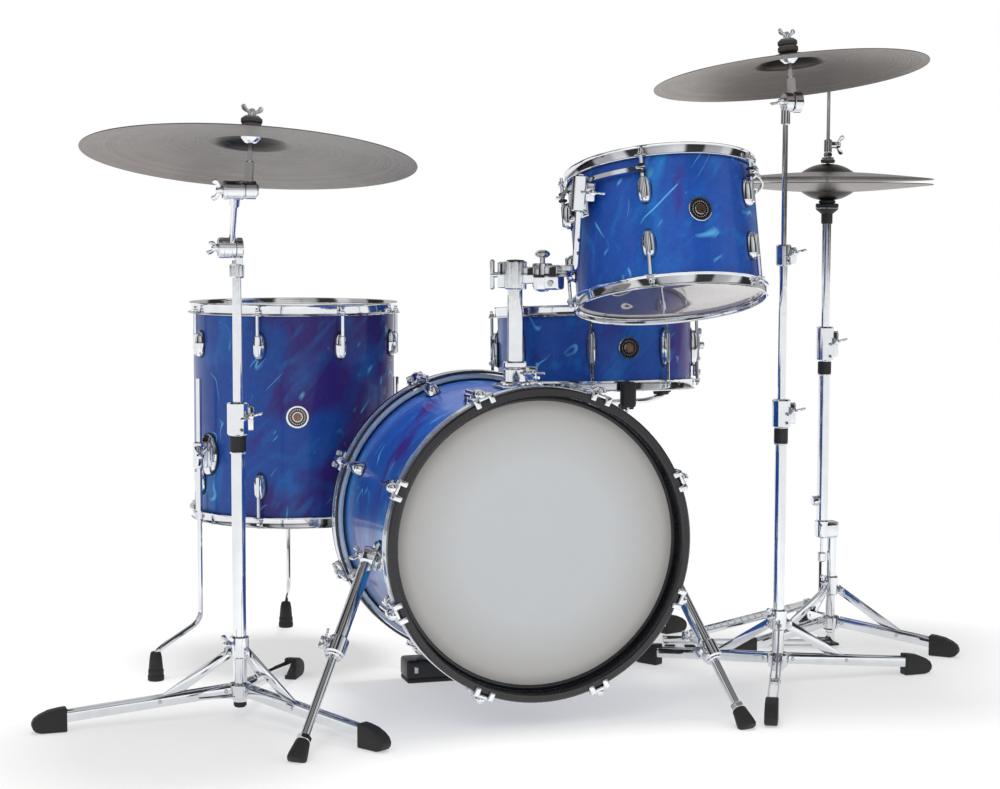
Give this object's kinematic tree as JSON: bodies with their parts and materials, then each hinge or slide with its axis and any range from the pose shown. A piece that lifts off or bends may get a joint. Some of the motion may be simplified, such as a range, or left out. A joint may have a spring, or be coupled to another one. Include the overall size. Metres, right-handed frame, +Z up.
{
  "type": "acoustic drum kit",
  "caption": "Drum kit with bass drum, rack tom, floor tom, snare, two cymbal stands and a hi-hat; the hardware slides, tilts, folds and spins.",
  "frame": {"origin": "on the floor under the middle of the kit's bounding box", "axes": "+Z up; -Y is the side that faces the audience and the bass drum's front head; +X is the hi-hat side"},
  "size_m": [1.6628, 1.0486, 1.1062],
  "materials": {
    "blue_pearl": "glossy pearl wrap over a maple shell",
    "chrome": "polished",
    "black_lacquer": "gloss black lacquer",
    "coated_film": "coated drum film",
    "clear_film": "clear drum film",
    "bronze": "lathed cymbal bronze",
    "black_rubber": "moulded rubber"
  },
  "bodies": {
    "base": {"bass_shell": "blue_pearl", "bass_front_head": "coated_film", "bass_front_hoop": "black_lacquer", "bass_rear_head": "coated_film", "bass_rear_hoop": "black_lacquer", "bass_riser": "black_rubber", "spur_bracket_left": "chrome", "spur_bracket_right": "chrome", "tom_post_base": "chrome", "floor_tom_shell": "blue_pearl", "floor_tom_batter_head": "coated_film", "floor_tom_batter_hoop": "chrome", "floor_tom_resonant_head": "clear_film", "floor_tom_resonant_hoop": "chrome", "snare_stand_base": "chrome", "left_stand_lower_tube": "chrome", "right_stand_base": "chrome", "hi_hat_base": "chrome"},
    "spur_tube_left": {"spur_tube_left": "chrome"},
    "spur_leg_left": {"spur_leg_left": "chrome"},
    "spur_tube_right": {"spur_tube_right": "chrome"},
    "spur_leg_right": {"spur_leg_right": "chrome"},
    "tom_post": {"tom_post": "chrome"},
    "tom_holder": {"tom_holder_head": "chrome"},
    "rack_tom": {"tom_l_arm": "chrome", "tom_mount_bracket": "chrome", "tom_shell": "blue_pearl", "tom_batter_head": "coated_film", "tom_batter_hoop": "chrome", "tom_resonant_head": "clear_film", "tom_resonant_hoop": "chrome"},
    "floor_tom_leg_1": {"floor_tom_leg_1": "chrome"},
    "floor_tom_leg_2": {"floor_tom_leg_2": "chrome"},
    "floor_tom_leg_3": {"floor_tom_leg_3": "chrome"},
    "snare": {"snare_basket": "chrome", "snare_shell": "blue_pearl", "snare_batter_head": "coated_film", "snare_batter_hoop": "chrome", "snare_resonant_head": "clear_film", "snare_resonant_hoop": "chrome"},
    "strainer_lever": {"snare_strainer_lever": "chrome"},
    "left_collar": {"left_stand_collar": "chrome"},
    "left_upper_tube": {"left_stand_upper_tube": "chrome"},
    "left_boom": {"left_stand_boom": "chrome"},
    "left_tilter": {"left_stand_cymbal_tilter": "chrome"},
    "left_cymbal": {"left_stand_cymbal": "bronze"},
    "right_middle_tube": {"right_stand_middle_tube": "chrome"},
    "right_rod": {"right_stand_cymbal_rod": "chrome"},
    "right_cymbal": {"right_stand_cymbal": "bronze"},
    "hat_upper_tube": {"hi_hat_upper_tube": "chrome", "hi_hat_bottom_cymbal": "bronze"},
    "hat_rod": {"hi_hat_pull_rod": "chrome", "hi_hat_top_cymbal": "bronze"},
    "hat_pedal": {"hi_hat_pedal": "chrome"},
    "left_leg_1": {"left_stand_leg_1": "chrome"},
    "left_brace_1": {"left_stand_brace_1": "chrome"},
    "left_leg_2": {"left_stand_leg_2": "chrome"},
    "left_brace_2": {"left_stand_brace_2": "chrome"},
    "left_leg_3": {"left_stand_leg_3": "chrome"},
    "left_brace_3": {"left_stand_brace_3": "chrome"}
  },
  "joints": [
    {"name": "spur_fold_left", "type": "hinge", "parent": "base", "child": "spur_tube_left", "pos_m": [-0.31811, -0.28206, 0.263], "axis": [-0.905, 0.2566, 0.3392], "range_deg": [0, 50]},
    {"name": "spur_extend_left", "type": "slide", "parent": "spur_tube_left", "child": "spur_leg_left", "axis": [-0.4253, -0.5461, -0.7217], "range_m": [-0.045, 0]},
    {"name": "spur_fold_right", "type": "hinge", "parent": "base", "child": "spur_tube_right", "pos_m": [0.17589, -0.29006, 0.232], "axis": [-0.9775, -0.1345, -0.1625], "range_deg": [0, 50]},
    {"name": "spur_extend_right", "type": "slide", "parent": "spur_tube_right", "child": "spur_leg_right", "axis": [0.211, -0.6232, -0.7531], "range_m": [-0.045, 0]},
    {"name": "tom_post_height", "type": "slide", "parent": "base", "child": "tom_post", "axis": [0, 0, 1], "range_m": [-0.06, 0]},
    {"name": "tom_holder_swivel", "type": "hinge", "parent": "tom_post", "child": "tom_holder", "pos_m": [-0.05211, -0.19006, 0.7], "axis": [0, 0, 1], "range_deg": [-12, 12]},
    {"name": "tom_tilt", "type": "hinge", "parent": "tom_holder", "child": "rack_tom", "pos_m": [0.01566, -0.243, 0.712], "axis": [0.788, -0.6157, 0], "range_deg": [-10, 10]},
    {"name": "floor_tom_leg_slide_1", "type": "slide", "parent": "base", "child": "floor_tom_leg_1", "axis": [0, 0, 1], "range_m": [0, 0.08]},
    {"name": "floor_tom_leg_slide_2", "type": "slide", "parent": "base", "child": "floor_tom_leg_2", "axis": [0, 0, 1], "range_m": [0, 0.08]},
    {"name": "floor_tom_leg_slide_3", "type": "slide", "parent": "base", "child": "floor_tom_leg_3", "axis": [0, 0, 1], "range_m": [0, 0.08]},
    {"name": "snare_basket_tilt", "type": "hinge", "parent": "base", "child": "snare", "pos_m": [0.21589, 0.18394, 0.43], "axis": [0, 1, 0], "range_deg": [-8, 8]},
    {"name": "strainer_throw", "type": "hinge", "parent": "snare", "child": "strainer_lever", "pos_m": [0.40685, 0.13534, 0.54089], "axis": [0.2419, 0.9685, -0.0582], "range_deg": [0, 60]},
    {"name": "left_collar_slide", "type": "slide", "parent": "base", "child": "left_collar", "axis": [0, 0, 1], "range_m": [0, 0.025]},
    {"name": "left_leg_fold_1", "type": "hinge", "parent": "base", "child": "left_leg_1", "pos_m": [-0.53009, -0.19106, 0.046], "axis": [-0.0419, 0.9991, 0], "range_deg": [0, 13.7]},
    {"name": "left_brace_fold_1", "type": "hinge", "parent": "left_collar", "child": "left_brace_1", "pos_m": [-0.52309, -0.19077, 0.106], "axis": [-0.0419, 0.9991, 0], "range_deg": [-0.7, 0]},
    {"name": "left_leg_fold_2", "type": "hinge", "parent": "base", "child": "left_leg_2", "pos_m": [-0.49325, -0.21032, 0.046], "axis": [-0.8443, -0.5358, 0], "range_deg": [0, 13.7]},
    {"name": "left_brace_fold_2", "type": "hinge", "parent": "left_collar", "child": "left_brace_2", "pos_m": [-0.497, -0.20441, 0.106], "axis": [-0.8443, -0.5358, 0], "range_deg": [-0.7, 0]},
    {"name": "left_leg_fold_3", "type": "hinge", "parent": "base", "child": "left_leg_3", "pos_m": [-0.49499, -0.16879, 0.046], "axis": [0.8862, -0.4633, 0], "range_deg": [0, 13.7]},
    {"name": "left_brace_fold_3", "type": "hinge", "parent": "left_collar", "child": "left_brace_3", "pos_m": [-0.49823, -0.17499, 0.106], "axis": [0.8862, -0.4633, 0], "range_deg": [-0.7, 0]},
    {"name": "left_tube_height", "type": "slide", "parent": "base", "child": "left_upper_tube", "axis": [0, 0, 1], "range_m": [-0.06, 0.12]},
    {"name": "left_boom_tilt", "type": "hinge", "parent": "left_upper_tube", "child": "left_boom", "pos_m": [-0.50611, -0.19006, 0.744], "axis": [1, 0, 0], "range_deg": [-20, 20]},
    {"name": "left_cymbal_tilt", "type": "hinge", "parent": "left_boom", "child": "left_tilter", "pos_m": [-0.50611, -0.2792, 0.83171], "axis": [1, 0, 0], "range_deg": [-15, 15]},
    {"name": "left_cymbal_spin", "type": "hinge", "parent": "left_tilter", "child": "left_cymbal", "pos_m": [-0.49531, -0.26726, 0.9176], "axis": [0.081, 0.1372, 0.9872], "continuous": true},
    {"name": "right_middle_height", "type": "slide", "parent": "base", "child": "right_middle_tube", "axis": [0, 0, 1], "range_m": [0, 0.12]},
    {"name": "right_rod_height", "type": "slide", "parent": "right_middle_tube", "child": "right_rod", "axis": [0, 0, 1], "range_m": [0, 0.1]},
    {"name": "right_cymbal_spin", "type": "hinge", "parent": "right_rod", "child": "right_cymbal", "pos_m": [0.41789, -0.20756, 1.066], "axis": [-0.0634, 0.116, 0.9912], "continuous": true},
    {"name": "hat_tube_height", "type": "slide", "parent": "base", "child": "hat_upper_tube", "axis": [0, 0, 1], "range_m": [-0.06, 0]},
    {"name": "hat_rod_pull", "type": "slide", "parent": "base", "child": "hat_rod", "axis": [0, 0, -1], "range_m": [0, 0.007], "stiffness_N_per_m": 400, "springref_m": -0.06},
    {"name": "hat_pedal_press", "type": "hinge", "parent": "base", "child": "hat_pedal", "pos_m": [0.38513, 0.1372, 0.016], "axis": [0.309, 0.9511, 0], "range_deg": [0, 2.2]}
  ],
  "couplings": [
    {"joint": "left_leg_fold_1", "follows": "left_collar_slide", "rad_per_m": 9.4591},
    {"joint": "left_brace_fold_1", "follows": "left_collar_slide", "rad_per_m": -0.404},
    {"joint": "left_leg_fold_2", "follows": "left_collar_slide", "rad_per_m": 9.4591},
    {"joint": "left_brace_fold_2", "follows": "left_collar_slide", "rad_per_m": -0.404},
    {"joint": "left_leg_fold_3", "follows": "left_collar_slide", "rad_per_m": 9.4591},
    {"joint": "left_brace_fold_3", "follows": "left_collar_slide", "rad_per_m": -0.404},
    {"joint": "hat_pedal_press", "follows": "hat_rod_pull", "rad_per_m": 4.3868}
  ]
}
